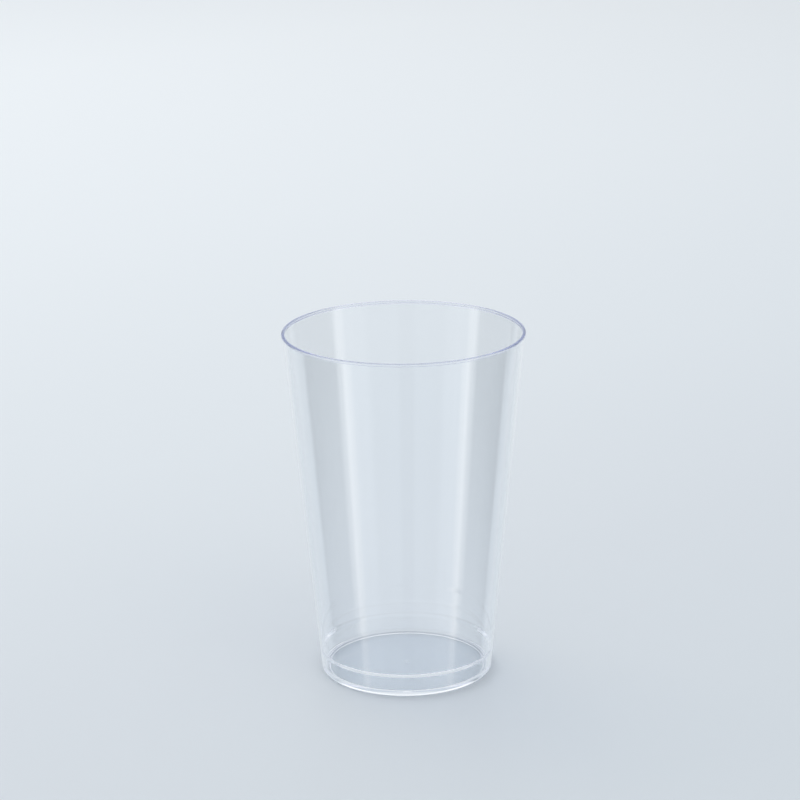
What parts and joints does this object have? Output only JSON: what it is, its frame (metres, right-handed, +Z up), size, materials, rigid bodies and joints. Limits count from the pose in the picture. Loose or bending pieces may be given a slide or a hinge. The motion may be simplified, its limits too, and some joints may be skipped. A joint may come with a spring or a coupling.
{
  "type": "plastic tumbler cup",
  "caption": "Clear hard plastic tumbler with a plain tapered wall, a fine bead round the mouth, a ring foot and an inner shoulder that carries a nested cup.",
  "frame": {"origin": "centre of the foot, on the surface that the cup stands on", "axes": "+Z up along the cup's axis, out of its mouth"},
  "size_m": [0.08, 0.08, 0.117],
  "materials": {
    "crystal_polystyrene": "clear and polished, with no colour of its own"
  },
  "bodies": {
    "root": {"tumbler": "crystal_polystyrene"}
  },
  "joints": []
}
